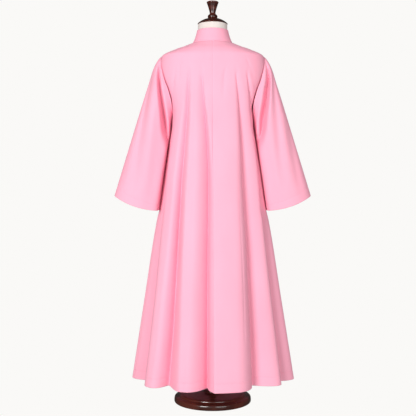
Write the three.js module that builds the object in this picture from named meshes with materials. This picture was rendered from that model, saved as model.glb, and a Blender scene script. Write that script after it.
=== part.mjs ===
// A cassock with a band collar and wide sleeves, worn by a limbless dress form on a round base.
// Millimetres, +Z up. The origin is the centre of the base's underside. The garment's front faces -Y,
// and +X is the wearer's left. Angles round the body are degrees from +X, so 90 is the centre back.
import * as THREE from "three";

// Names the columns of a table's rows.
function table(names, rows) {
  const keys = names.split(" ");
  return rows.map((row) => Object.fromEntries(row.map((value, i) => [keys[i], value])));
}

// Cloth
const WALL = 2;
const COLLAR_WALL = 2.4;
const SEAM_GAP = 0.3;
const SEAM_GAP_SLEEVE = 0.8;

// Heights and half-widths that the garment is cut to
const HEM_LEVEL = 92;
const UNDERARM_LEVEL = 1170;
const SHOULDER_LEVEL = 1409;
const NECK_LEVEL = 1463;
const FRONT_NECK_DROP = 24;
const COLLAR_TOP_LEVEL = 1515;
const COLLAR_TOP = { radius: 64, front: 71 };
const COLLAR_HOLLOW = 2;
const LAP = 20;
const LAP_RAMP = 10;
const LAP_CLEARANCE = 0.7;
const CENTRE_FRONT = 270;

// One row for each section of the body: half its width, its depth behind and before the axis, and how
// square its corners are (2 is an ellipse).
const BODY_SECTIONS = table("level halfWidth back front square", [
  [92, 333, 238, 228, 1.86],
  [420, 281, 202, 198, 1.95],
  [745, 228.5, 165, 167, 2.05],
  [781, 219.5, 161, 163, 2.05],
  [960, 193.5, 139, 147, 2.2],
  [1170, 162.5, 117, 132, 2.85],
  [1220, 170, 113.5, 129.5, 2.75],
  [1265, 181, 111.5, 127.5, 2.55],
  [1314, 195, 109.5, 124, 2.4],
  [1361, 204, 107.5, 118, 2.35],
  [1409, 208, 104, 108, 2.3],
  [1421, 191, 100, 103, 2.2],
  [1433, 162, 94, 96, 2.1],
  [1445, 134, 87, 88, 2],
  [1457, 105, 78, 80, 2],
  [1463, 82, 72, 74, 2],
]);

// One row for each fold that runs down the skirt: where it starts, its angle there and at the hem, its
// depth at the hem, and its half-width on the side of smaller and of larger angles.
const SKIRT_FOLDS = table("start from to depth before after", [
  [1010, 12, 11.5, 22, 11, 12],
  [1380, 43, 45, 76, 10.5, 9.5],
  [1350, 66, 89, 72, 16, 16],
  [1380, 135, 133.5, 68, 7.5, 12],
  [1060, 167, 169, 34, 8, 9],
  [1000, 194, 193, 22, 10, 11],
  [1290, 222, 221, 64, 9, 11],
  [1120, 245, 247, 38, 9, 9],
  [1160, 297, 294, 44, 10, 9],
  [1300, 317, 319, 66, 10, 9],
  [980, 347, 346, 26, 9, 9],
]);
const FOLD_GROWTH = 1.5;
const FOLD_DRIFT = 0.6;

// The armhole's edge: how far round the body it comes, behind and before, and where it is widest.
const ARMHOLE = { back: 18, front: 21, low: 0.7, round: 0.55 };

// One row for each station down a sleeve: the outer and the inner edge seen from the back, and half
// the sleeve's depth from front to back.
const SLEEVE_STATIONS = table("at outerX outerZ innerX innerZ halfDepth", [
  [0, 208, 1409, 162.5, 1170, 52],
  [0.05, 229, 1395, 168, 1152, 58],
  [0.11, 240, 1371, 171.6, 1128, 63],
  [0.18, 248, 1345, 175.6, 1101, 66],
  [0.4, 289.5, 1209, 188, 1015, 68],
  [0.7, 345.7, 1025, 205, 898, 66],
  [1, 402, 840, 222, 781, 61],
]);
const CUFF_DROP = 14;
const CUFF_DROP_START = 0.55;
const ARMHOLE_BLEND = 0.2;

// One row for each fold in a sleeve: the side of the wearer, behind or before, its place across at
// three heights, its depth and its half-width. A negative depth is a ridge.
const SLEEVE_FOLDS = table("side behind topZ topX midZ midX endZ endX depth width", [
  [1, 1, 1385, 228, 1232, 215, 1000, 188, 20, 13],
  [1, 1, 1330, 236, 1200, 246, 960, 262, -8, 20],
  [1, 1, 1260, 262, 1080, 294, 850, 330, 8, 16],
  [-1, 1, 1385, 232, 1232, 222, 1060, 184, 16, 15],
  [-1, 1, 1290, 262, 1110, 264, 900, 282, 9, 18],
  [-1, 1, 1180, 292, 1030, 318, 850, 352, 7, 16],
  [1, -1, 1380, 226, 1220, 210, 1010, 192, 17, 14],
  [1, -1, 1240, 268, 1060, 290, 860, 320, 9, 18],
  [-1, -1, 1375, 228, 1210, 214, 1030, 190, 18, 14],
  [-1, -1, 1260, 258, 1090, 280, 850, 312, 8, 17],
]);
const SLEEVE_FOLD_FADE = 0.3;

// Rows and columns of the cloth's facets
const SKIRT_LEVELS = [92, 190, 310, 440, 570, 680, 745, 781, 880, 990, 1090];
const ARMHOLE_LEVELS = [1170, 1176, 1191, 1218, 1258, 1306, 1354, 1390, 1409];
const YOKE_LEVELS = [1421, 1435, 1450, 1463];
const PANEL_COLUMNS = 20;
const FOLD_COLUMN_WEIGHT = 0.03;
const COLUMN_SAMPLES = 360;
const EDGE_EASE = 3;
const SLEEVE_ROWS = [0, 0.04, 0.09, 0.15, 0.25, 0.38, 0.54, 0.71, 0.88, 1];
const COLLAR_COLUMNS = 34;
const COLLAR_ROWS = [0, 0.5, 1];

// Buttons down the centre front
const BUTTON = { radius: 7, height: 4.6, sides: 10, first: 1408, pitch: 72, count: 12, lift: 0.35 };
const BUTTON_PROFILE = [[0, 0], [0.86, 0], [1, 0.25], [0.9, 0.62], [0.55, 0.92], [0, 1]];
const COLLAR_BUTTON_PLACE = 0.5;

// The dress form: how far inside the cloth's outer face it lies at each level, then its neck
const FORM_INSETS = table("level inset", [
  [745, 84], [757, 70], [800, 55], [900, 41], [1030, 46], [1170, 19], [1300, 11], [1361, 12], [1400, 10],
  [1413, 3.6], [1440, 2.9], [1463, 3.3],
]);
const FORM_LEVELS = [
  745, 757, 800, 860, 930, 1030, 1100, 1170, 1240, 1310, 1361, 1392, 1411, 1421, 1435, 1450, 1463,
];
const NECK_RINGS = table("level radius frontDrop", [[1472, 62.5, 17], [1484, 60.4, 9], [1541, 60, 0]]);
const FORM_COLUMNS = 28;

// Room in front of the form for the lapped edges, and how far before its sides that begins and is whole
const LAP_ROOM = { inset: 3.2, from: 0.5, to: 0.9 };

// Turned wood, as radius and height down each profile
const BASE_PROFILE = [
  [0, 0], [151, 0], [155, 4], [155, 18], [151, 23], [140, 25.5], [136.5, 28], [136, 31], [132, 33.5],
  [62, 36], [41, 37], [37, 40], [37, 46], [34, 48], [0, 48],
];
const CAP_PROFILE = [
  [0, 1541.3], [60, 1541.3], [61.5, 1543], [60.5, 1545.5], [50, 1553.5], [38, 1560], [27, 1563.7],
  [22, 1564.5], [0, 1564.5],
];
const FINIAL_PROFILE = [
  [0, 1564.8], [15, 1564.8], [19.3, 1568.5], [20.4, 1573.5], [18.8, 1579], [13.4, 1583.4], [11.6, 1586.5],
  [13.2, 1596], [17.2, 1611], [22.6, 1626.5], [25, 1631], [25, 1634.5], [21.5, 1638], [0, 1638.6],
];
const POLE = { radius: 13, bottom: 48.3, top: 744.7 };
const TURNED_SIDES = 32;
const SLIM_SIDES = 20;

const CLOTH = { color: 0xf8b4cd, roughness: 0.85, metalness: 0 };
const FORM_COVER = { color: 0xf2e6df, roughness: 0.9, metalness: 0 };
const WOOD = { color: 0x3c1512, roughness: 0.25, metalness: 0 };

const radians = THREE.MathUtils.degToRad;
const smoothstep = THREE.MathUtils.smoothstep;

// Reads a column of a table at a place between its rows, along a curve that never overshoots them.
function column(rows, key, name, at) {
  const last = rows.length - 1;
  if (at <= rows[0][key]) return rows[0][name];
  if (at >= rows[last][key]) return rows[last][name];
  let i = 0;
  while (at > rows[i + 1][key]) i += 1;
  const step = (k) => rows[k + 1][key] - rows[k][key];
  const slope = (k) => (rows[k + 1][name] - rows[k][name]) / step(k);
  const tangent = (k) => {
    if (k === 0) return slope(0);
    if (k === last) return slope(last - 1);
    const product = slope(k - 1) * slope(k);
    return product > 0 ? (2 * product) / (slope(k - 1) + slope(k)) : 0;
  };
  const h = step(i);
  const s = (at - rows[i][key]) / h;
  const bend = s * s * (3 - 2 * s);
  return rows[i][name] * (1 - bend) + rows[i + 1][name] * bend +
    h * (s * (1 - s) * (1 - s) * tangent(i) - s * s * (1 - s) * tangent(i + 1));
}

// The turn from one angle to another, from -180 to 180.
const turnFrom = (from, to) => THREE.MathUtils.euclideanModulo(to - from + 180, 360) - 180;

// How far the skirt's folds sink in at an angle and a level.
function foldDepth(angle, level) {
  let sunk = 0;
  for (const { start, from, to, depth, before, after } of SKIRT_FOLDS) {
    const grown = (start - level) / (start - HEM_LEVEL);
    if (grown <= 0) continue;
    const off = turnFrom(from + (to - from) * grown ** FOLD_DRIFT, angle);
    const across = Math.abs(off) / (off < 0 ? before : after);
    if (across < 1) sunk += depth * grown ** FOLD_GROWTH * 0.5 * (1 + Math.cos(Math.PI * across));
  }
  return sunk;
}

// The front of the neckline lies lower than its back.
function neckDrop(angle, level) {
  const before = Math.max(0, -Math.sin(radians(angle)));
  return FRONT_NECK_DROP * before * before * smoothstep(level, SHOULDER_LEVEL, NECK_LEVEL);
}

// The body without its folds: a rounded section whose size is read from the table.
function smoothBody(angle, level) {
  const cos = Math.cos(radians(angle));
  const sin = Math.sin(radians(angle));
  const halfWidth = column(BODY_SECTIONS, "level", "halfWidth", level);
  const depth = column(BODY_SECTIONS, "level", sin < 0 ? "front" : "back", level);
  const square = column(BODY_SECTIONS, "level", "square", level);
  const radius = (Math.abs(cos / halfWidth) ** square + Math.abs(sin / depth) ** square) ** (-1 / square);
  return new THREE.Vector3(radius * cos, radius * sin, level - neckDrop(angle, level));
}

function foldedBody(angle, level) {
  const point = smoothBody(angle, level);
  const radius = Math.hypot(point.x, point.y);
  const kept = 1 - foldDepth(angle, level) / radius;
  point.x *= kept;
  point.y *= kept;
  return point;
}

// The outward normal of a surface of two parameters, from small steps to each side.
function normalOf(surface, a, b, stepA, stepB) {
  const alongA = surface(a + stepA, b).sub(surface(a - stepA, b));
  const alongB = surface(a, b + stepB).sub(surface(a, b - stepB));
  return alongA.cross(alongB).normalize();
}

const ANGLE_STEP = 0.4;
const LEVEL_STEP = 2;
const STATION_STEP = 0.01;
const COLLAR_STEP = 0.05;
const bodyNormal = (body, angle, level) => normalOf(body, angle, level, ANGLE_STEP, LEVEL_STEP);

// A closed solid from rows of outer and inner points. A tube joins its last column to its first.
function wallGeometry(outer, inner, tube, flip) {
  const rows = outer.length;
  const columns = outer[0].length;
  const positions = [...outer.flat(), ...inner.flat()].flatMap((p) => [p.x, p.y, p.z]);
  const index = [];
  const skin = rows * columns;
  const quad = (a, b, c, d) => index.push(...(flip ? [a, c, b, a, d, c] : [a, b, c, a, c, d]));
  const at = (row, col) => row * columns + (col % columns);
  const across = tube ? columns : columns - 1;
  for (let r = 0; r < rows - 1; r += 1) {
    for (let c = 0; c < across; c += 1) {
      quad(at(r, c), at(r, c + 1), at(r + 1, c + 1), at(r + 1, c));
      quad(skin + at(r, c), skin + at(r + 1, c), skin + at(r + 1, c + 1), skin + at(r, c + 1));
    }
    if (tube) continue;
    quad(at(r, 0), at(r + 1, 0), skin + at(r + 1, 0), skin + at(r, 0));
    quad(at(r + 1, across), at(r, across), skin + at(r, across), skin + at(r + 1, across));
  }
  for (let c = 0; c < across; c += 1) {
    quad(at(0, c + 1), at(0, c), skin + at(0, c), skin + at(0, c + 1));
    quad(at(rows - 1, c), at(rows - 1, c + 1), skin + at(rows - 1, c + 1), skin + at(rows - 1, c));
  }
  const geometry = new THREE.BufferGeometry();
  geometry.setAttribute("position", new THREE.Float32BufferAttribute(positions, 3));
  geometry.setIndex(index);
  geometry.computeVertexNormals();
  return geometry;
}

// Shares out a panel's columns between its side and its centre, closer together in the folds.
function panelColumns(side, behind) {
  const weights = [];
  let total = 0;
  for (let i = 0; i <= COLUMN_SAMPLES; i += 1) {
    const angle = panelAngle(side, behind, (90 * i) / COLUMN_SAMPLES);
    let weight = 1;
    for (const { to, depth, before, after } of SKIRT_FOLDS) {
      const off = turnFrom(to, angle);
      if (off > -before && off < after) weight += FOLD_COLUMN_WEIGHT * depth;
    }
    total += weight;
    weights.push(total);
  }
  const places = [0];
  for (let i = 1; i < PANEL_COLUMNS; i += 1) {
    places.push(weights.findIndex((sum) => sum >= (total * i) / PANEL_COLUMNS) / COLUMN_SAMPLES);
  }
  return [...places, 1];
}

// The angle round the body of a place that lies so many degrees from the side seam.
function panelAngle(side, behind, fromSide) {
  return side > 0 ? behind * fromSide : 180 - behind * fromSide;
}

// How far from the side seam the armhole's edge lies at a level.
function armholeAngle(behind, level) {
  const up = (level - UNDERARM_LEVEL) / (SHOULDER_LEVEL - UNDERARM_LEVEL);
  if (up <= 0 || up >= 1) return 0;
  const reach = behind > 0 ? ARMHOLE.back : ARMHOLE.front;
  return reach * Math.sin(Math.PI * up ** ARMHOLE.low) ** ARMHOLE.round;
}

// Degrees that a length takes round the body at its centre.
function lengthAngle(length, behind, level) {
  const depth = column(BODY_SECTIONS, "level", behind > 0 ? "back" : "front", level);
  return THREE.MathUtils.radToDeg(Math.asin(length / depth));
}

// The right front and the right end of the collar pass under the left ones.
function underlap(point, wall) {
  if (point.y > 0) return 0;
  return (wall + LAP_CLEARANCE) * smoothstep(point.x, -LAP - 2 * LAP_RAMP, -LAP - LAP_RAMP);
}

// How far from its side seam a panel ends at a level: at the centre back's seam or the lapped front edge.
function panelEnd(behind, level) {
  return 90 + (behind > 0 ? -lengthAngle(SEAM_GAP / 2, behind, level) : lengthAngle(LAP, behind, level));
}

function panel(side, behind) {
  const places = panelColumns(side, behind);
  const outer = [];
  const inner = [];
  for (const level of [...SKIRT_LEVELS, ...ARMHOLE_LEVELS, ...YOKE_LEVELS]) {
    const edge = armholeAngle(behind, level) || lengthAngle(SEAM_GAP / 2, behind, level);
    const end = panelEnd(behind, level);
    const outerRow = [];
    const innerRow = [];
    for (const place of places) {
      const angle = panelAngle(side, behind, place * end + edge * (1 - place) ** EDGE_EASE);
      const normal = bodyNormal(foldedBody, angle, level);
      const point = foldedBody(angle, level);
      if (side < 0 && behind < 0) point.addScaledVector(normal, -underlap(point, WALL));
      outerRow.push(point);
      innerRow.push(point.clone().addScaledVector(normal, -WALL));
    }
    outer.push(outerRow);
    inner.push(innerRow);
  }
  return wallGeometry(outer, inner, false, side * behind < 0);
}

// The armhole's edge as a loop from the shoulder, down behind, under the arm and up before.
function armholeLoop() {
  const edge = (behind, level) => foldedBody(panelAngle(1, behind, armholeAngle(behind, level)), level);
  const behind = [...ARMHOLE_LEVELS].reverse().map((level) => edge(1, level));
  const before = ARMHOLE_LEVELS.slice(1, -1).map((level) => edge(-1, level));
  const corners = [...behind, ...before];
  return corners.flatMap((corner, i) => {
    const next = corners[(i + 1) % corners.length];
    return [corner, corner.clone().add(next).multiplyScalar(0.5)];
  });
}

// How far a sleeve's folds sink in at a point of its surface.
function sleeveFoldDepth(side, behind, x, z) {
  let sunk = 0;
  for (const fold of SLEEVE_FOLDS) {
    const { topZ, topX, midZ, midX, endZ, endX, depth, width } = fold;
    if (fold.side !== side || fold.behind !== Math.sign(behind) || z > topZ || z < endZ) continue;
    const place = z > midZ
      ? THREE.MathUtils.mapLinear(z, topZ, midZ, topX, midX)
      : THREE.MathUtils.mapLinear(z, midZ, endZ, midX, endX);
    const run = (topZ - z) / (topZ - endZ);
    const fade = smoothstep(run, 0, SLEEVE_FOLD_FADE) * (1 - smoothstep(run, 1 - SLEEVE_FOLD_FADE, 1));
    sunk += depth * fade * Math.abs(behind) * Math.exp(-(((x - place) / width) ** 2));
  }
  return sunk;
}

const LOOP = armholeLoop();

// A point of the left sleeve's tube at a station and a turn, both 0 to 1, before its folds.
function sleeveTube(at, turn) {
  const read = (name) => column(SLEEVE_STATIONS, "at", name, at);
  const cos = Math.cos(2 * Math.PI * turn);
  const sin = Math.sin(2 * Math.PI * turn);
  const middleX = (read("outerX") + read("innerX")) / 2;
  const middleZ = (read("outerZ") + read("innerZ")) / 2;
  const reachX = (read("outerX") - read("innerX")) / 2;
  const reachZ = (read("outerZ") - read("innerZ")) / 2;
  const drop = CUFF_DROP * sin * sin * smoothstep(at, CUFF_DROP_START, 1);
  return new THREE.Vector3(middleX + reachX * cos, read("halfDepth") * sin, middleZ + reachZ * cos - drop);
}

// A point of the left sleeve before its folds: the tube, drawn to the armhole's edge at its top.
function sleevePoint(at, turn) {
  const place = THREE.MathUtils.euclideanModulo(turn, 1) * LOOP.length;
  const low = Math.floor(place) % LOOP.length;
  const armhole = LOOP[low].clone().lerp(LOOP[(low + 1) % LOOP.length], place - Math.floor(place));
  armhole.x += SEAM_GAP_SLEEVE;
  const tube = sleeveTube(at, turn);
  return armhole.lerp(tube, smoothstep(at, 0, ARMHOLE_BLEND));
}

function sleeve(side) {
  const count = LOOP.length;
  const outer = [];
  const inner = [];
  for (const at of SLEEVE_ROWS) {
    const outerRow = [];
    const innerRow = [];
    for (let i = 0; i < count; i += 1) {
      const turn = i / count;
      const normal = normalOf(sleevePoint, Math.max(at, STATION_STEP), turn, STATION_STEP, 0.5 / count);
      const point = sleevePoint(at, turn);
      const behind = Math.sin(2 * Math.PI * turn);
      point.addScaledVector(normal, -sleeveFoldDepth(side, behind, point.x, point.z));
      const inside = point.clone().addScaledVector(normal, -WALL);
      if (side < 0) {
        point.x *= -1;
        inside.x *= -1;
      }
      outerRow.push(point);
      innerRow.push(inside);
    }
    outer.push(outerRow);
    inner.push(innerRow);
  }
  return wallGeometry(outer, inner, true, side > 0);
}

function ringPoint(radius, angle, level) {
  return new THREE.Vector3(radius * Math.cos(radians(angle)), radius * Math.sin(radians(angle)), level);
}

// The collar stands on the neckline and draws in to a smaller ring, a little hollow between them.
function collarPoint(angle, up) {
  const foot = smoothBody(angle, NECK_LEVEL);
  foot.z += SEAM_GAP;
  const before = Math.max(0, -Math.sin(radians(angle)));
  const topLevel = COLLAR_TOP_LEVEL - FRONT_NECK_DROP * before * before;
  const radius = COLLAR_TOP.radius + (COLLAR_TOP.front - COLLAR_TOP.radius) * before * before;
  const top = ringPoint(radius, angle, topLevel);
  const hollow = 1 - (COLLAR_HOLLOW * 4 * up * (1 - up)) / radius;
  const point = foot.lerp(top, up);
  point.x *= hollow;
  point.y *= hollow;
  return point;
}

function collar() {
  const outer = [];
  const inner = [];
  for (const up of COLLAR_ROWS) {
    const lapAngle = THREE.MathUtils.radToDeg(Math.asin(LAP / COLLAR_TOP.front));
    const outerRow = [];
    const innerRow = [];
    for (let i = 0; i <= COLLAR_COLUMNS; i += 1) {
      const angle = CENTRE_FRONT - 360 - lapAngle + ((360 + 2 * lapAngle) * i) / COLLAR_COLUMNS;
      const normal = normalOf(collarPoint, angle, up, ANGLE_STEP, COLLAR_STEP);
      const point = collarPoint(angle, up);
      const under = i > COLLAR_COLUMNS / 2 ? underlap(point, COLLAR_WALL) : 0;
      point.addScaledVector(normal, -under);
      outerRow.push(point);
      innerRow.push(point.clone().addScaledVector(normal, -COLLAR_WALL));
    }
    outer.push(outerRow);
    inner.push(innerRow);
  }
  return wallGeometry(outer, inner, false, false);
}

// A covered button: a low dome on a flat back.
function buttonGeometry() {
  const { radius, height, sides } = BUTTON;
  const points = BUTTON_PROFILE.map(([out, up]) => new THREE.Vector2(out * radius, up * height));
  return new THREE.LatheGeometry(points, sides).rotateX(Math.PI / 2);
}

// Lays a button on the flat facet between two rows of points at the centre front.
function placeButton(mesh, low, high, along) {
  const normal = new THREE.Vector3(1, 0, 0).cross(high.clone().sub(low)).normalize();
  mesh.quaternion.setFromUnitVectors(new THREE.Vector3(0, 0, 1), normal);
  mesh.position.copy(low).lerp(high, along).addScaledVector(normal, BUTTON.lift);
  return mesh;
}

function placeOnFront(mesh, level) {
  const rows = [...SKIRT_LEVELS, ...ARMHOLE_LEVELS, ...YOKE_LEVELS];
  const above = rows.findIndex((row) => row > level);
  const [lowLevel, highLevel] = [rows[above - 1], rows[above]];
  const low = foldedBody(CENTRE_FRONT, lowLevel);
  const high = foldedBody(CENTRE_FRONT, highLevel);
  return placeButton(mesh, low, high, (level - lowLevel) / (highLevel - lowLevel));
}

// A point of the form inside the cloth, with room at the front for the lapped edges.
function formPoint(angle, level) {
  const room = LAP_ROOM.inset * smoothstep(-Math.sin(radians(angle)), LAP_ROOM.from, LAP_ROOM.to);
  const inset = column(FORM_INSETS, "level", "inset", level) + room;
  return smoothBody(angle, level).addScaledVector(bodyNormal(smoothBody, angle, level), -inset);
}

// The form is a closed stack of rings inside the cloth, then the rings of its neck.
function formGeometry() {
  const rings = FORM_LEVELS.map((level) => (angle) => formPoint(angle, level));
  for (const { level, radius, frontDrop } of NECK_RINGS) {
    rings.push((angle) => {
      const before = Math.max(0, -Math.sin(radians(angle)));
      return ringPoint(radius, angle, level - frontDrop * before * before);
    });
  }
  const angles = Array.from({ length: FORM_COLUMNS }, (_, i) => (360 * i) / FORM_COLUMNS);
  const points = rings.map((ring) => angles.map(ring));
  points[0].forEach((point) => { point.z = FORM_LEVELS[0]; });
  return stackGeometry(points);
}

// A closed solid from a stack of rings, with a flat lid at each end.
function stackGeometry(rings) {
  const count = rings[0].length;
  const positions = rings.flat().flatMap((p) => [p.x, p.y, p.z]);
  const middle = (ring) => ring.reduce((sum, p) => sum.add(p), new THREE.Vector3()).divideScalar(count);
  const bottom = middle(rings[0]);
  const top = middle(rings.at(-1));
  positions.push(bottom.x, bottom.y, bottom.z, top.x, top.y, top.z);
  const bottomIndex = rings.length * count;
  const index = [];
  for (let i = 0; i < count; i += 1) {
    const next = (i + 1) % count;
    index.push(bottomIndex, next, i);
    index.push(bottomIndex + 1, (rings.length - 1) * count + i, (rings.length - 1) * count + next);
    for (let r = 0; r < rings.length - 1; r += 1) {
      const low = r * count;
      const high = low + count;
      index.push(low + i, low + next, high + next, low + i, high + next, high + i);
    }
  }
  const geometry = new THREE.BufferGeometry();
  geometry.setAttribute("position", new THREE.Float32BufferAttribute(positions, 3));
  geometry.setIndex(index);
  geometry.computeVertexNormals();
  return geometry;
}

function turnedGeometry(profile, sides) {
  const points = profile.map(([radius, level]) => new THREE.Vector2(radius, level));
  return new THREE.LatheGeometry(points, sides).rotateX(Math.PI / 2);
}

const clothMaterial = () => new THREE.MeshStandardMaterial(CLOTH);
const formMaterial = () => new THREE.MeshStandardMaterial(FORM_COVER);
const woodMaterial = () => new THREE.MeshStandardMaterial(WOOD);

function named(name, geometry, material) {
  const mesh = new THREE.Mesh(geometry, material);
  mesh.name = name;
  return mesh;
}

function garment() {
  const group = new THREE.Group();
  group.add(named("back_left", panel(1, 1), clothMaterial()));
  group.add(named("back_right", panel(-1, 1), clothMaterial()));
  group.add(named("front_left", panel(1, -1), clothMaterial()));
  group.add(named("front_right", panel(-1, -1), clothMaterial()));
  group.add(named("sleeve_left", sleeve(1), clothMaterial()));
  group.add(named("sleeve_right", sleeve(-1), clothMaterial()));
  group.add(named("collar", collar(), clothMaterial()));
  for (let i = 0; i < BUTTON.count; i += 1) {
    const level = BUTTON.first - i * BUTTON.pitch;
    const mesh = named(`button_${String(i + 1).padStart(2, "0")}`, buttonGeometry(), clothMaterial());
    group.add(placeOnFront(mesh, level));
  }
  const neckButton = named("button_collar", buttonGeometry(), clothMaterial());
  const [, collarMiddle, collarTop] = COLLAR_ROWS.map((up) => collarPoint(CENTRE_FRONT, up));
  group.add(placeButton(neckButton, collarMiddle, collarTop, COLLAR_BUTTON_PLACE));
  return group;
}

function dressForm() {
  const group = new THREE.Group();
  group.add(named("form_torso", formGeometry(), formMaterial()));
  group.add(named("form_cap", turnedGeometry(CAP_PROFILE, TURNED_SIDES), woodMaterial()));
  group.add(named("form_finial", turnedGeometry(FINIAL_PROFILE, SLIM_SIDES), woodMaterial()));
  group.add(named("form_base", turnedGeometry(BASE_PROFILE, TURNED_SIDES), woodMaterial()));
  const pole = new THREE.CylinderGeometry(POLE.radius, POLE.radius, POLE.top - POLE.bottom, SLIM_SIDES);
  pole.rotateX(Math.PI / 2).translate(0, 0, (POLE.top + POLE.bottom) / 2);
  group.add(named("form_pole", pole, woodMaterial()));
  return group;
}

const cassock = new THREE.Group();
cassock.add(garment(), dressForm());

export default cassock;
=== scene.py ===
"""A cassock with a band collar and wide sleeves on a dress form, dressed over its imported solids.

Sizes are in millimetres in the tables and become metres when a mesh is made. +Z is up, the garment's front
faces -Y and +X is the wearer's left. Angles round the body are degrees from +X: 90 is the centre back.
"""

import math

import bpy
import numpy as np
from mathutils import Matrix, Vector


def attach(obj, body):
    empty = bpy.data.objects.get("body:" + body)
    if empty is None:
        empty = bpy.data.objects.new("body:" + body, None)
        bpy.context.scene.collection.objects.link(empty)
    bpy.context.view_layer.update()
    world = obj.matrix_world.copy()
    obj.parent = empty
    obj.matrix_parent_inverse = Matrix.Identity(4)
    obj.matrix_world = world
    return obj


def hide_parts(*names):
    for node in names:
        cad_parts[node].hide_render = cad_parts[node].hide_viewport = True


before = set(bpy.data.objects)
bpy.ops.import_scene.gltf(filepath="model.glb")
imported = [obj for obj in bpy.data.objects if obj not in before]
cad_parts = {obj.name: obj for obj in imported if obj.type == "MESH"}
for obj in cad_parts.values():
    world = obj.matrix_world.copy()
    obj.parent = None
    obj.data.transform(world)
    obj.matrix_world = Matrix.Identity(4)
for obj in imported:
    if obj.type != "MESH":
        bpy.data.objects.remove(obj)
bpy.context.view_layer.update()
MM = 0.001


def table(names, rows):
    """A table whose named columns are arrays."""
    return dict(zip(names.split(), np.array(rows, float).T))


# Cut of the garment
HEM, UNDERARM, SHOULDER, NECK = 92.0, 1170.0, 1409.0, 1463.0
FRONT_NECK_DROP = 24.0
COLLAR_TOP, COLLAR_RADIUS, COLLAR_FRONT_RADIUS, COLLAR_HOLLOW = 1515.0, 64.0, 71.0, 2.0
LAP, LAP_RAMP, LAP_CLEARANCE = 20.0, 10.0, 0.7
COLLAR_LAP_ANGLE = math.degrees(math.asin(LAP / COLLAR_FRONT_RADIUS))
SEAM_GAP = 0.3
CLOTH, COLLAR_CLOTH, HEM_TURN, RIM_ROUND = 1.5, 2.2, 1.3, 0.9
HEM_DEPTH, CUFF_HEM_DEPTH = 34.0, 36.0

# The rows rise in level but for 1441, which stands after 1457. The shape below the neck was settled with it
# there, and putting it in its place moves the cloth.
BODY_SECTIONS = table("level half_width back front square", [
    (92, 333, 238, 228, 1.86),
    (420, 281, 202, 198, 1.95),
    (745, 228.5, 165, 167, 2.1),
    (781, 219.5, 161, 163, 2.15),
    (960, 193.5, 139, 147, 2.35),
    (1170, 163, 117, 132, 2.85),
    (1220, 171, 113.5, 129.5, 2.75),
    (1265, 188, 111.5, 127.5, 2.55),
    (1314, 209, 109.5, 124, 2.4),
    (1361, 215, 107.5, 118, 2.35),
    (1395, 212.5, 105, 111, 2.3),
    (1409, 208, 104, 108, 2.3),
    (1421, 191, 100, 103, 2.2),
    (1433, 162, 94, 96, 2.1),
    (1445, 134, 87, 88, 2),
    (1457, 105, 78, 80, 2),
    (1441, 137, 86, 89, 2.12),
    (1463, 82, 72, 74, 2),
])
# A fold's section: how sharply it falls and how round its valley is, as a share of its half-width
FOLD_POWER, FOLD_ROUND = 1.9, 0.045
FOLD_SPAN = math.hypot(1, FOLD_ROUND) - FOLD_ROUND

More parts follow.
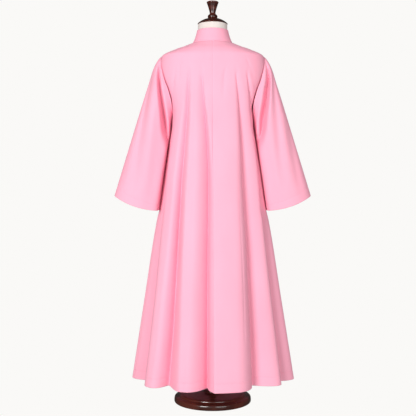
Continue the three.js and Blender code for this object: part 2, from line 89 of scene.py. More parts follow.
# Folds down the skirt, from the left side seam round the back. Each has the angle that its cloth is pushed
# in from, or 0 where that is straight towards the axis, then rows: a level, the fold's angle and depth
# there, and its half-width on the side of smaller and of larger angles.
FOLD = "level angle depth before after"
SKIRT_FOLDS = [(aim, table(FOLD, rows)) for aim, rows in (
    (0, [(92, 10, 92, 14, 19), (243, 10, 82, 14, 19), (435, 10, 66, 13.5, 19), (668, 9.5, 46, 13, 17.5),
        (902, 8.5, 30, 12, 14), (1022, 9, 17, 11, 11.5), (1140, 10, 0, 10, 10)]),
    (86, [(92, 47.6, 78, 16, 12), (310, 48.2, 66, 15.5, 9.6), (427, 47.6, 61, 15, 9.2),
        (546, 47, 56, 13.5, 8.6), (664, 46.2, 50, 12.5, 8.2), (783, 45.3, 44, 12.5, 8.2),
        (903, 44.4, 38, 12.5, 8.6), (1023, 44.8, 30, 12, 8), (1142, 45.3, 21, 9.5, 7),
        (1221, 45.8, 13, 6.5, 6), (1300, 46.4, 6, 4.5, 4.5), (1372, 48.5, 0, 3, 3)]),
    (0, [(92, 82.2, 78, 17.5, 10.5), (243, 82, 68, 17.5, 10.5), (435, 81.6, 57, 17.5, 10.5),
        (667, 81.3, 49, 18, 10.5), (784, 81.2, 45, 18.5, 10.5), (902, 80.8, 40, 18.5, 10.5),
        (1021, 78.4, 33, 17.5, 10.5), (1140, 73.6, 24, 15, 9.5), (1220, 69.6, 16, 12, 8),
        (1299, 67.5, 8, 8, 6.5), (1366, 66.5, 0, 5, 5)]),
    (0, [(92, 142.9, 85, 30, 18), (233, 144.5, 80, 30, 19.5), (428, 145.6, 70, 29.5, 21),
        (664, 146.3, 56, 27, 22), (903, 145.8, 43, 22.5, 21), (1023, 144.8, 33, 18, 18.5),
        (1142, 142.5, 22, 13.5, 14.5), (1221, 139.3, 13.5, 10, 10.5), (1300, 134.2, 6, 5, 5.5),
        (1366, 131.5, 0, 3.5, 3.5)]),
    (0, [(92, 168.4, 64, 17, 10.5), (320, 169.2, 53, 16, 10), (551, 169.6, 42, 15, 10),
        (784, 169.4, 30, 12, 10), (902, 168.9, 25, 10, 9), (1022, 168.8, 17, 9.5, 9),
        (1140, 168.5, 0, 9, 9)]),
    (0, [(92, 193, 34, 10, 11), (500, 193.5, 18, 10, 11), (784, 194, 13, 9, 10), (1000, 194, 9, 9, 9),
        (1120, 194, 0, 9, 9)]),
    (0, [(92, 221, 74, 11, 13), (400, 221.3, 52, 11, 13), (700, 221.6, 31, 10, 12),
        (1000, 222, 14, 8.5, 10), (1180, 222.5, 5, 5, 6), (1290, 223, 0, 4, 4)]),
    (0, [(92, 247, 44, 10, 10), (400, 246.4, 27, 10, 10), (700, 245.8, 13, 9, 9), (1000, 245.3, 4, 7, 7),
        (1120, 245, 0, 5, 5)]),
    (0, [(92, 294, 50, 12, 10), (400, 294.8, 32, 12, 10), (700, 295.8, 16, 10, 9), (1000, 296.6, 5, 7, 7),
        (1160, 297, 0, 5, 5)]),
    (0, [(92, 319, 76, 13, 11), (400, 318.6, 53, 13, 11), (700, 318.1, 32, 12, 10),
        (1000, 317.6, 15, 10, 8), (1190, 317.2, 5, 6, 5), (1300, 317, 0, 4, 4)]),
    (0, [(92, 346, 38, 10, 10), (500, 346.3, 18, 10, 10), (784, 346.6, 13, 9, 9), (1000, 347, 9, 9, 9),
        (1120, 347, 0, 9, 9)]),
)]
# How far below a fold's top the panel's columns begin to leave it
FOLD_LET_GO = 50.0

ARMHOLE_BACK, ARMHOLE_FRONT, ARMHOLE_LOW, ARMHOLE_ROUND = 15.0, 22.0, 0.7, 0.55
ARMHOLE_LEVELS = np.array([1170, 1176, 1191, 1218, 1258, 1306, 1354, 1390, 1409], float)
SLEEVE_STATIONS = table("at outer_x outer_z inner_x inner_z half_depth", [
    (0, 208, 1409, 162.5, 1170, 52),
    (0.05, 232.5, 1398.5, 168, 1152, 58),
    (0.11, 241.5, 1374, 171.6, 1128, 63),
    (0.18, 248, 1345, 175.6, 1101, 66),
    (0.4, 289.5, 1209, 188, 1015, 68),
    (0.7, 345.7, 1025, 205, 898, 66),
    (1, 402, 840, 222, 781, 61),
])
FRONT_LEAN = 26.0
CUFF_DROP, CUFF_DROP_START, ARMHOLE_BLEND = 14.0, 0.55, 0.2

# Creases. Each has its side, before (-1) or behind (1), and on a sleeve how steep its sides are, then rows:
# a height, the crease's place across there, its depth and its half-width. A negative depth is a ridge.
CREASE = "z x depth width"
SLEEVE_CREASES = [(side, behind, steep, table(CREASE, rows)) for side, behind, steep, rows in (
    (1, 1, 2.6, [(985, 176, 0, 9), (1020, 179, 12, 10.5), (1060, 185, 32, 11), (1098, 191, 45, 11),
        (1139, 196, 51, 10), (1179, 201, 50, 8.8), (1219, 206.5, 46, 7.9), (1258, 212, 41, 6.8),
        (1298, 216, 34, 5.6), (1336, 218.5, 22, 4.8), (1366, 215.5, 8, 4.2), (1388, 212, 0, 4)]),
    (1, 1, 2, [(820, 280, 0, 20), (960, 262, -5, 20), (1140, 246, -8, 20), (1260, 240, -5, 16),
        (1330, 236, 0, 12)]),
    (1, 1, 2, [(830, 335, 0, 18), (900, 318, 6, 18), (1050, 298, 9, 16), (1180, 276, 10, 12),
        (1290, 256, 8, 8), (1350, 243, 0, 6)]),
    (-1, 1, 2.2, [(990, 180, 0, 12), (1060, 190, 26, 12), (1109, 199, 41, 12), (1172, 206.5, 47, 11.5),
        (1219, 214, 47, 11), (1267, 220, 44, 10), (1306, 225, 35, 8), (1338, 225.5, 21, 6.5),
        (1366, 221, 9, 5), (1392, 214, 0, 4)]),
    (-1, 1, 2, [(860, 290, 0, 18), (950, 278, 6, 18), (1110, 262, 11, 18), (1219, 253, 11, 14),
        (1300, 247, 8, 9), (1350, 243, 0, 6)]),
    (-1, 1, 2, [(830, 362, 0, 16), (930, 340, 5, 16), (1060, 318, 7, 16), (1160, 298, 0, 14)]),
    (1, -1, 2, [(1000, 190, 0, 14), (1110, 200, 12, 14), (1200, 214, 15, 13), (1280, 222, 8, 9),
        (1335, 226, 0, 6)]),
    (1, -1, 2, [(850, 322, 0, 18), (960, 304, 7, 18), (1080, 288, 9, 17), (1180, 275, 4, 14),
        (1240, 268, 0, 12)]),
    (-1, -1, 2, [(1010, 188, 0, 14), (1110, 200, 13, 14), (1190, 214, 16, 14), (1270, 223, 8, 9),
        (1330, 227, 0, 6)]),
    (-1, -1, 2, [(840, 314, 0, 17), (960, 296, 6, 17), (1090, 280, 8, 17), (1190, 267, 4, 13),
        (1260, 258, 0, 11)]),
)]
BODY_CREASES = [(side, behind, 2, table(CREASE, rows)) for side, behind, rows in (
    (1, 1, [(1250, 161, 0, 5), (1290, 158, 5.5, 5.5), (1325, 153, 4.5, 4.5), (1352, 147, 0, 3.5)]),
    (1, 1, [(1290, 134, 0, 5), (1330, 134, 2.8, 4.5), (1362, 131, 2.4, 4), (1392, 128, 0, 4)]),
    (1, 1, [(380, 101, 0, 4), (560, 96, 0.9, 4), (900, 88, 0.9, 4), (1150, 82, 0.7, 4),
        (1260, 80, 0, 4)]),
    (-1, 1, [(240, 128, 0, 4), (330, 127, 1.6, 3.6), (500, 123, 1.8, 3.4), (700, 113, 1.4, 3.4),
        (860, 104, 0, 3)]),
    (-1, 1, [(1215, 41, 0, 8), (1265, 43, 2.8, 8), (1310, 46, 2.8, 7), (1356, 50, 0, 6)]),
    (-1, 1, [(1150, 166, 0, 9), (1196, 160, 18, 7.5), (1258, 151, 17, 6), (1298, 144, 12, 4.6),
        (1330, 138, 6, 3.6), (1352, 135, 0, 3)]),
    (-1, 1, [(1300, 168, 0, 4), (1330, 158, 3.4, 4), (1362, 146, 3.4, 4), (1395, 131, 0, 4)]),
    (1, -1, [(1190, 140, 0, 7), (1260, 132, 3, 7), (1320, 125, 2.4, 6), (1372, 118, 0, 5)]),
    (1, -1, [(1160, 88, 0, 8), (1240, 81, 2.2, 8), (1300, 77, 1.6, 7), (1340, 74, 0, 6)]),
    (-1, -1, [(1190, 142, 0, 7), (1255, 132, 3.2, 7), (1320, 120, 2.4, 6), (1372, 112, 0, 5)]),
    (-1, -1, [(1150, 84, 0, 8), (1230, 79, 2, 8), (1290, 74, 1.4, 7), (1330, 70, 0, 6)]),
)]

# How far the armhole's seam lies sunk in the cloth behind and before, and how far from it that reaches
ARMHOLE_DIP = table("level behind reach before", [
    (1170, 24, 8, 8), (1190, 40, 8, 8), (1219, 46, 8, 6), (1240, 33, 9, 5), (1262, 21, 9, 4),
    (1300, 13, 8.5, 3), (1342, 7, 7.5, 2.4), (1375, 3, 6, 1.8), (1409, 1.4, 3.4, 1.4),
])

FORM_INSETS = table("level inset", [
    (745, 84), (757, 70), (800, 55), (900, 44), (1030, 46), (1170, 27), (1220, 31), (1300, 24), (1361, 18),
    (1400, 10), (1413, 3.6), (1440, 2.9), (1463, 3.3),
])
LAP_ROOM, FORM_ARC = 3.2, 2.6
NECK_GROOVE, NECK_GROOVE_LEVEL = 0.7, 1516.7
NECK_RINGS = table("level radius front_drop", [(1472, 62.5, 17), (1484, 60.4, 9), (1541, 60, 0)])
BUTTON_RADIUS, BUTTON_HEIGHT, BUTTON_FIRST, BUTTON_PITCH, BUTTON_COUNT = 7.0, 4.6, 1408.0, 72.0, 12
BUTTON_LIFT, COLLAR_BUTTON_UP = 0.35, 0.75

BASE_PROFILE = [
    (0, 0), (154.5, 0), (157, 3.5), (156, 18), (151.5, 23), (140, 25.5), (136.5, 28), (136, 31),
    (132, 33.5), (62, 36), (41, 37), (37, 40), (37, 46), (34, 48), (0, 48),
]
CAP_PROFILE = [
    (0, 1541.3), (60, 1541.3), (61.5, 1543), (60.5, 1545.5), (50, 1553.5), (38, 1560), (27, 1563.7),
    (22, 1564.5), (0, 1564.5),
]
FINIAL_PROFILE = [
    (0, 1564.8), (15, 1564.8), (19.3, 1568.5), (20.4, 1573.5), (18.8, 1579), (13.4, 1583.4), (11.6, 1586.5),
    (13.2, 1596), (17.4, 1611), (22.4, 1626.5), (24.4, 1630.5), (24.4, 1633), (21, 1635.6), (0, 1636),
]
POLE_PROFILE = [(0, 48.3), (13, 48.3), (13, 744.7), (0, 744.7)]


# Numbers along curves
def smoothstep(x, low, high):
    """Rises from 0 to 1 between low and high, level at both ends."""
    t = np.clip((x - low) / (high - low), 0, 1)
    return t * t * (3 - 2 * t)


def read(rows, name, at):
    """A table's column at a place between its rows: a cubic through them with harmonic-mean slopes."""
    x, y = next(iter(rows.values())), rows[name]
    step = np.diff(x)
    slope = np.diff(y) / step
    product = slope[:-1] * slope[1:]
    total = slope[:-1] + slope[1:]
    inner = np.where(product > 0, 2 * product / np.where(total == 0, 1, total), 0)
    tangent = np.concatenate([slope[:1], inner, slope[-1:]])
    i = np.clip(np.searchsorted(x, at, "right") - 1, 0, len(step) - 1)
    s = np.clip((at - x[i]) / step[i], 0, 1)
    bend = s * s * (3 - 2 * s)
    lift = step[i] * (s * (1 - s) ** 2 * tangent[i] - s * s * (1 - s) * tangent[i + 1])
    return y[i] * (1 - bend) + y[i + 1] * bend + lift


def points(x, y, z):
    """Three arrays as one array of points."""
    return np.stack(np.broadcast_arrays(x, y, z), -1)


def unit(v):
    """Vectors of length one."""
    return v / np.maximum(np.linalg.norm(v, axis=-1, keepdims=True), 1e-9)


def surface_normal(surface, a, b, step_a, step_b):
    """The cross product of a surface's small steps along its two parameters."""
    along_a = surface(a + step_a, b) - surface(a - step_a, b)
    along_b = surface(a, b + step_b) - surface(a, b - step_b)
    return unit(np.cross(along_a, along_b))


# The body of the garment
def before_axis(angle):
    """The share, 0 to 1, by which an angle faces the front."""
    return np.maximum(0, -np.sin(np.radians(angle)))


def smooth_body(angle, level):
    """Each level is a superellipse, r = (|cos/width|^n + |sin/depth|^n)^(-1/n), sunk at the front neck."""
    cos, sin = np.cos(np.radians(angle)), np.sin(np.radians(angle))
    width = read(BODY_SECTIONS, "half_width", level)
    depth = np.where(sin < 0, read(BODY_SECTIONS, "front", level), read(BODY_SECTIONS, "back", level))
    square = read(BODY_SECTIONS, "square", level)
    radius = (np.abs(cos / width) ** square + np.abs(sin / depth) ** square) ** (-1 / square)
    drop = FRONT_NECK_DROP * before_axis(angle) ** 2 * smoothstep(level, SHOULDER, NECK)
    return points(radius * cos, radius * sin, level - drop)


def fold_shift(angle, level):
    """The folds' move of a point: each depth * (1 - f) ** FOLD_POWER, with f from 0 in its valley to 1."""
    moved = np.zeros((*np.broadcast(angle, level).shape, 3))
    for aim, fold in SKIRT_FOLDS:
        centre, depth, before, after = (read(fold, name, level) for name in FOLD.split()[1:])
        off = np.mod(angle - centre + 180, 360) - 180
        across = np.abs(off) / np.where(off < 0, before, after)
        across = np.clip((np.hypot(across, FOLD_ROUND) - FOLD_ROUND) / FOLD_SPAN, 0, 1)
        sunk = depth * (1 - across) ** FOLD_POWER
        towards = np.radians(aim if aim else angle)
        moved = moved - points(sunk * np.cos(towards), sunk * np.sin(towards), 0 * sunk)
    return moved


def crease_depth(creases, side, behind, x, z):
    """Each crease is depth * exp(-(|x - place| / width) ** steep), with all three read at the height."""
    sunk = np.zeros(np.broadcast(x, z).shape)
    for of_side, of_behind, steep, rows in creases:
        here = (np.sign(side) == of_side) & (np.sign(behind) == of_behind)
        place, depth, width = (read(rows, name, z) for name in CREASE.split()[1:])
        inside = (z > rows["z"][0]) & (z < rows["z"][-1])
        bell = np.exp(-(np.abs((x - place) / width) ** steep))
        sunk = sunk + np.where(here & inside, depth * bell, 0)
    return sunk


def garment_body(angle, level):
    """The smooth body moved by its folds and sunk by its small creases along the normal."""
    base = smooth_body(angle, level)
    normal = surface_normal(smooth_body, angle, level, 0.4, 2)
    sin = np.sin(np.radians(angle))
    sunk = crease_depth(BODY_CREASES, base[..., 0], sin, np.abs(base[..., 0]), base[..., 2]) * np.abs(sin)
    return base + fold_shift(angle, level) - normal * sunk[..., None]


def body_normal(angle, level):
    """The outward normal of the folded garment."""
    return surface_normal(garment_body, angle, level, 0.25, 1.5)


def panel_angle(side, behind, from_side):
    """The angle round the body of a place so many degrees from the side seam."""
    return behind * from_side if side > 0 else 180 - behind * from_side


def panel_place(side, behind, angle):
    """The degrees from the side seam of a place at an angle round the body."""
    return np.mod(behind * (angle if side > 0 else 180 - angle), 360)


def armhole_angle(behind, level):
    """How far round the body the armhole's edge comes at a level: a rounded sine of the height."""
    up = np.clip((level - UNDERARM) / (SHOULDER - UNDERARM), 0, 1)
    reach = ARMHOLE_BACK if behind > 0 else ARMHOLE_FRONT
    inside = np.clip(np.sin(np.pi * up**ARMHOLE_LOW), 0, None)
    return np.where((up <= 0) | (up >= 1), 0, reach * inside**ARMHOLE_ROUND)


def length_angle(length, behind, level):
    """Degrees that a length takes round the body at its centre."""
    depth = read(BODY_SECTIONS, "back" if behind > 0 else "front", level)
    return np.degrees(np.arcsin(length / depth))


def underlap(point, wall):
    """How far the right front passes under the left one near the centre front."""
    ramp = smoothstep(point[..., 0], -LAP - 2 * LAP_RAMP, -LAP - LAP_RAMP)
    return np.where(point[..., 1] > 0, 0, (wall + LAP_CLEARANCE) * ramp)


# Seams, hems and how the cloth gives at them
SEAM_SINK, SEAM_REACH = 1.1, 2.6
STITCHED_SINK, STITCHED_REACH = 0.7, 2.4
LEDGE_SINK, LEDGE_REACH = 2.6, 12.0


def armhole_dip(behind, level):
    """How far the armhole's seam is sunk at a level, and how far from the seam that reaches."""
    sink = read(ARMHOLE_DIP, "behind" if behind > 0 else "before", level)
    return sink * smoothstep(level, UNDERARM - 1, UNDERARM + 12), read(ARMHOLE_DIP, "reach", level)


def seam_sink(distance, sink=SEAM_SINK, reach=SEAM_REACH):
    """Cloth rolls in towards a seam: a bell curve of the distance from it."""
    return sink * np.exp(-((distance / reach) ** 2))


def slit(distance, reach):
    """Cloth turned in beside the armhole: a bell curve with a flatter floor and steeper sides."""
    return np.exp(-(np.abs(distance / reach) ** 3))


def fold_drift(side, behind, place, level, edge, end):
    """How far a panel's columns are drawn aside at a level, to follow the valleys of its folds."""
    hem_end = 90.0 if behind > 0 else 90 + length_angle(LAP, behind, HEM)
    found = []
    for _, fold in SKIRT_FOLDS:
        angle = read(fold, "angle", level)
        hem, here = (panel_place(side, behind, a) for a in (fold["angle"][0], angle))
        if hem < 90:
            at, top = hem / hem_end, fold["level"][-1]
            held = 1 - smoothstep(level, top - FOLD_LET_GO, top)
            found.append((at, (here - at * end - edge * (1 - at) ** 3) * held))
    found = [(0.0, 0 * level), *sorted(found, key=lambda pair: pair[0]), (1.0, 0 * level)]
    drift = np.zeros(np.broadcast(place, level).shape)
    for (low, drift_low), (high, drift_high) in zip(found, found[1:]):
        share = (place - low) / (high - low)
        inside = (place > low) & (place <= high)
        drift = np.where(inside, drift_low * (1 - share) + drift_high * share, drift)
    return drift


def panel_sheet(side, behind, place, level):
    """A panel's outer points and normals. Place runs from the side seam, 0, to the centre, 1."""
    gap = length_angle(SEAM_GAP / 2, behind, level)
    hole = armhole_angle(behind, level)
    edge = np.where(hole > 0, hole, gap)
    end = 90 + (-gap if behind > 0 else length_angle(LAP, behind, level))
    from_side = place * end + edge * (1 - place) ** 3
    from_side = from_side + fold_drift(side, behind, place, level, edge, end)
    angle = panel_angle(side, behind, from_side)
    point = garment_body(angle, level)
    normal = body_normal(angle, level)
    radius = np.hypot(point[..., 0], point[..., 1])
    to_side = np.radians(from_side - edge) * radius
    dip, reach = armhole_dip(behind, level)
    turned_in = np.where(hole > 0, dip * slit(to_side, reach), 0)
    sunk = np.where(hole > 0, 0, seam_sink(to_side))
    if behind > 0:
        to_seam = np.radians(end - from_side) * radius
        sunk = sunk + seam_sink(to_seam)
        if side > 0:
            sunk = sunk + seam_sink(to_seam, LEDGE_SINK, LEDGE_REACH) * smoothstep(NECK - level, 120, 420)
    sunk = sunk + seam_sink((NECK - level) * 1.5)
    sunk = sunk + seam_sink(level - HEM - HEM_DEPTH, STITCHED_SINK, STITCHED_REACH)
    if side < 0 and behind < 0:
        sunk = sunk + underlap(point, CLOTH + 0.5)
    return point - normal * sunk[..., None] - AXES[1] * (behind * turned_in)[..., None], normal


# Meshes
AXES = np.eye(3)


def add_mesh(name, vertices, faces, uv, material):
    """A smooth mesh of points in millimetres and arrays of faces, each with three or four corners."""
    mesh = bpy.data.meshes.new(name)
    vertices = np.asarray(vertices, float).reshape(-1, 3) * MM
    sizes = np.concatenate([np.full(len(f), f.shape[1]) for f in faces])
    corners = np.concatenate([f.ravel() for f in faces])
    mesh.vertices.add(len(vertices))
    mesh.vertices.foreach_set("co", vertices.astype(np.float32).ravel())
    mesh.loops.add(len(corners))
    mesh.loops.foreach_set("vertex_index", corners.astype(np.int32))
    mesh.polygons.add(len(sizes))
    starts = np.concatenate([[0], np.cumsum(sizes)[:-1]])
    mesh.polygons.foreach_set("loop_start", starts.astype(np.int32))
    mesh.update(calc_edges=True)
    mesh.polygons.foreach_set("use_smooth", np.ones(len(sizes), bool))
    if uv is not None:
        layer = mesh.uv_layers.new(name="cut")
        flat = np.concatenate([u.reshape(-1, 2) for u in uv]) * MM
        layer.data.foreach_set("uv", flat.astype(np.float32).ravel())
    mesh.validate()
    mesh.materials.append(material)
    piece = bpy.data.objects.new(name, mesh)
    bpy.context.scene.collection.objects.link(piece)
    return piece


def grid_quads(index, wrap=False):
    """The quads of a grid of vertex numbers, joined round where its last column meets its first."""
    if wrap:
        index = np.concatenate([index, index[:, :1]], 1)
    return np.stack([index[:-1, :-1], index[:-1, 1:], index[1:, 1:], index[1:, :-1]], -1).reshape(-1, 4)


def circle(middle, one_way, other_way, radius, sides):
    """Rings of points round a line of middles, in the plane of two directions."""
    turn = np.radians(np.arange(sides) * 360 / sides)[:, None]
    across = one_way[..., None, :] * np.cos(turn) + other_way[..., None, :] * np.sin(turn)
    return middle[..., None, :] + across * radius


def closed_rings(rings, first_end, last_end):
    """A stack of rings as a closed body: quads between them, and triangles to a point at each end."""
    index = np.arange(rings[..., 0].size).reshape(rings.shape[:2])
    first, last = index[0], index[-1]
    lids = np.concatenate([
        np.stack([np.full_like(first, index.size), np.roll(first, -1), first], -1),
        np.stack([np.full_like(last, index.size + 1), last, np.roll(last, -1)], -1),
    ])
    return np.concatenate([rings.reshape(-1, 3), [first_end, last_end]]), [grid_quads(index, True), lids]


def cut_lengths(outer, across_from, tube):
    """Distances measured over the cloth: across from one column and up from the first row."""
    grid = np.concatenate([outer, outer[:, :1]], 1) if tube else outer
    across = np.cumsum(np.linalg.norm(np.diff(grid, axis=1), axis=-1), 1)
    across = np.concatenate([np.zeros((len(grid), 1)), across], 1)
    across = across - across[:, [across_from]]
    up = np.cumsum(np.linalg.norm(np.diff(grid, axis=0), axis=-1), 0)
    up = np.concatenate([np.zeros((1, grid.shape[1])), up], 0)
    return np.stack([across, up], -1)


def cloth_sheet(node, outer, normal, wall, tube=False, flip=False, across_from=0):
    """A closed sheet of cloth: outer points, the same points sunk by the wall, and a round edge between."""
    rows, columns = outer.shape[:2]
    inner = outer - normal * np.broadcast_to(wall, (rows, columns))[..., None]
    count = rows * columns
    index = np.arange(count).reshape(rows, columns)
    cut = cut_lengths(outer, across_from, tube)
    cut_index = np.arange(cut[..., 0].size).reshape(cut.shape[:2])
    if tube:
        top = (index[-1][::-1], index[-2][::-1], cut_index[-1][::-1])
        loops = [(index[0], index[1], cut_index[0]), top]
    else:
        ring = np.concatenate([index[0], index[1:, -1], index[-1, -2::-1], index[-2:0:-1, 0]])
        row = np.clip(ring // columns, 1, rows - 2)
        col = np.clip(ring % columns, 1, columns - 2)
        loops = [(ring, row * columns + col, np.append(ring, ring[0]))]
    outside, inside, flat = outer.reshape(-1, 3), inner.reshape(-1, 3), cut.reshape(-1, 2)
    outer_faces, outer_uv = grid_quads(index, tube), flat[grid_quads(cut_index)]
    faces, uv = [outer_faces, outer_faces[:, ::-1] + count], [outer_uv, outer_uv[:, ::-1]]
    rims, total = [], 2 * count
    for ring, behind_ring, cut_ring in loops:
        away = unit(outside[ring] - outside[behind_ring])
        half = np.linalg.norm(outside[ring] - inside[ring], axis=-1, keepdims=True) / 2
        rims.append((outside[ring] + inside[ring]) / 2 + away * half * RIM_ROUND)
        middle = total + np.arange(len(ring))
        total += len(ring)
        a, b = ring, np.roll(ring, -1)
        ma, mb = middle, np.roll(middle, -1)
        faces += [np.stack([b, a, ma, mb], -1), np.stack([mb, ma, a + count, b + count], -1)]
        ua, ub = flat[cut_ring[: len(ring)]], flat[cut_ring[1 : len(ring) + 1]]
        rim_uv = np.stack([ub, ua, ua + CLOTH, ub + CLOTH], 1)
        uv += [rim_uv, rim_uv + CLOTH]
    if flip:
        faces = [f[:, ::-1] for f in faces]
        uv = [u[:, ::-1] for u in uv]
    piece = add_mesh(f"{node}_cloth", np.concatenate([outside, inside, *rims]), faces, uv, CLOTH_PINK)
    return dressed(piece, "cassock_cloth", node)


def lathe(part, profile, sides, cuts=2, keep=0.18):
    """A turned piece: a rounded profile of radius and height carried round the axis, where its ends are."""
    radius, height = rounded(profile, cuts, keep).T
    axis = points(0, 0, height)
    wall = circle(axis[1:-1], AXES[0], AXES[1], radius[1:-1, None, None], sides)
    piece = add_mesh(f"turned_{part}", *closed_rings(wall, axis[0], axis[-1]), None, MAHOGANY)
    return dressed(piece, "turned_wood", f"form_{part}")


def rounded(profile, cuts, keep):
    """A profile with its corners cut off again and again, which rounds them."""
    line = np.array(profile, float)
    for _ in range(cuts):
        a, b = line[:-1], line[1:]
        cut = np.stack([a + (b - a) * keep, b - (b - a) * keep], 1).reshape(-1, 2)
        line = np.concatenate([line[:1], cut[1:-1], line[-1:]])
    return line


def dressed(piece, slot, *nodes):
    """A piece of the object: it rides on the one body and stands for its solids; its slot is not used."""
    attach(piece, "root")
    if nodes:
        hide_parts(*nodes)
    return piece


# Node groups
def feed(tree, node, **inputs):
    """A node with inputs set to values or linked to sockets, each by its name with _ for a space."""
    for name, value in inputs.items():
        socket = node.inputs[name.replace("_", " ")]
        if isinstance(value, bpy.types.NodeSocket):
            tree.links.new(value, socket)
        else:
            socket.default_value = value
    return node


def add_node(tree, kind, **inputs):
    """A new node with its inputs."""
    return feed(tree, tree.nodes.new(kind), **inputs)


def math_node(tree, operation, *values):
    """A Math node's result, fed by numbers or sockets."""
    node = tree.nodes.new("ShaderNodeMath")
    node.operation = operation
    for socket, value in zip(node.inputs, values):
        if isinstance(value, (int, float)):
            socket.default_value = value
        else:
            tree.links.new(value, socket)
    return node.outputs[0]


def scaled(tree, vector, factor):
    """A vector times a factor."""
    node = tree.nodes.new("ShaderNodeVectorMath")
    node.operation = "SCALE"
    return feed(tree, node, Vector=vector, Scale=factor).outputs["Vector"]


def new_group(name, inputs, outputs):
    """A shader node group with inputs of named kinds and plain numbers as outputs."""
    group = bpy.data.node_groups.new(name, "ShaderNodeTree")
    for label, kind in inputs.items():
        group.interface.new_socket(label, in_out="INPUT", socket_type=f"NodeSocket{kind}")
    for label in outputs:
        group.interface.new_socket(label, in_out="OUTPUT", socket_type="NodeSocketFloat")
    return group, group.nodes.new("NodeGroupInput"), group.nodes.new("NodeGroupOutput")


def drawn_out(tree, vector, stretch, start=(0.0, 0.0, 0.0)):
    """A vector stretched and moved by a Mapping node."""
    node = add_node(tree, "ShaderNodeMapping", Vector=vector, Scale=stretch, Location=start)
    return node.outputs["Vector"]


def noise(tree, vector, stretch, detail, roughness):
    """A noise texture on a vector that is stretched first."""
    drawn = drawn_out(tree, vector, stretch)
    node = add_node(tree, "ShaderNodeTexNoise", Vector=drawn, Scale=1.0, Detail=detail, Roughness=roughness)
    return node.outputs["Fac"]


SLUB = 0.5


def make_weave():
    """Threads over and under each other, with thicker ones here and there and a slow change of tone."""
    inputs = {"Cut": "Vector", "Threads per metre": "Float"}
    group, ins, outs = new_group("woven threads", inputs, ("Height", "Tone", "Drift"))
    cut = ins.outputs["Cut"]
    place = scaled(group, cut, ins.outputs["Threads per metre"])
    split = add_node(group, "ShaderNodeSeparateXYZ", Vector=place)
    across, up = split.outputs["X"], split.outputs["Y"]
    warp = math_node(group, "SINE", math_node(group, "MULTIPLY", across, 2 * math.pi))
    weft = math_node(group, "SINE", math_node(group, "MULTIPLY", up, 2 * math.pi))
    twill = math_node(group, "ADD", across, up)
    ribs = math_node(group, "SINE", math_node(group, "MULTIPLY", twill, math.pi))
    crossed = math_node(group, "MULTIPLY", warp, weft)
    threads = math_node(group, "ADD", math_node(group, "MULTIPLY", crossed, 0.5), ribs)
    slub = noise(group, cut, (1800.0, 90.0, 1.0), 2.0, 0.6)
    slub_weft = noise(group, cut, (70.0, 1500.0, 1.0), 2.0, 0.6)
    both = math_node(group, "ADD", slub, slub_weft)
    tone = math_node(group, "MULTIPLY", math_node(group, "SUBTRACT", both, 1.0), SLUB)
    height = math_node(group, "ADD", math_node(group, "MULTIPLY", threads, 0.25), tone)
    drift = noise(group, cut, (9.0, 4.0, 1.0), 3.0, 0.55)
    feed(group, outs, Height=height, Tone=tone, Drift=drift)
    return group


def make_grain():
    """Turned wood: rings drawn out along one axis, broken by noise, with fine dark pores."""
    group, ins, outs = new_group("wood grain", {"Place": "Vector", "Size": "Float"}, ("Streak", "Pore"))
    place = scaled(group, ins.outputs["Place"], ins.outputs["Size"])
    drawn = drawn_out(group, place, (1.0, 0.12, 1.0), (0.3, 0.25, 0.0))
    wave = add_node(group, "ShaderNodeTexWave", Vector=drawn, Scale=14.0, Distortion=5.0, Detail=3.0)
    wave.wave_type = "RINGS"
    pore = noise(group, place, (900.0, 60.0, 900.0), 4.0, 0.6)
    feed(group, outs, Streak=wave.outputs["Fac"], Pore=pore)
    return group


WEAVE = make_weave()
GRAIN = make_grain()


def new_material(name):
    """An empty node material with its Principled shader."""
    material = bpy.data.materials.new(name)
    material.use_nodes = True
    tree = material.node_tree
    return material, tree, tree.nodes["Principled BSDF"]


def ramp_colour(tree, factor, *stops):
    """A colour ramp over a mask, from one stop to another."""
    ramp = add_node(tree, "ShaderNodeValToRGB", Fac=factor)
    for element, (position, colour) in zip(ramp.color_ramp.elements, stops):
        element.position = position
        element.color = (*colour, 1)
    return ramp.outputs["Color"]


def bump(tree, height, distance, strength=1.0, **under):
    """The normal from a Bump node, over another bump's Normal where one is given."""
    inputs = {"Height": height, "Distance": distance, "Strength": strength, **under}
    return add_node(tree, "ShaderNodeBump", **inputs).outputs["Normal"]


def cloth_material(name, dark, light, threads, sheen, roughness):
    """Woven cloth: its tone drifts slowly and thread by thread, with a fine bump and a soft sheen."""
    material, tree, shader = new_material(name)
    cut = tree.nodes.new("ShaderNodeUVMap")
    cut.uv_map = "cut"
    weave = tree.nodes.new("ShaderNodeGroup")
    weave.node_tree = WEAVE
    feed(tree, weave, Cut=cut.outputs["UV"], Threads_per_metre=threads)
    tone, drift = weave.outputs["Tone"], weave.outputs["Drift"]
    mask = math_node(tree, "ADD", drift, math_node(tree, "MULTIPLY", tone, 0.6))
    soft = bump(tree, drift, 0.0012)
    feed(
        tree, shader,
        Base_Color=ramp_colour(tree, mask, (0.25, dark), (0.75, light)),
        Roughness=math_node(tree, "MULTIPLY_ADD", tone, 0.08, roughness),
        Normal=bump(tree, weave.outputs["Height"], 0.00006, Normal=soft),
        Specular_IOR_Level=0.25, Sheen_Weight=sheen, Sheen_Roughness=0.45, Sheen_Tint=(1.0, 0.85, 0.92, 1),
    )
    return material


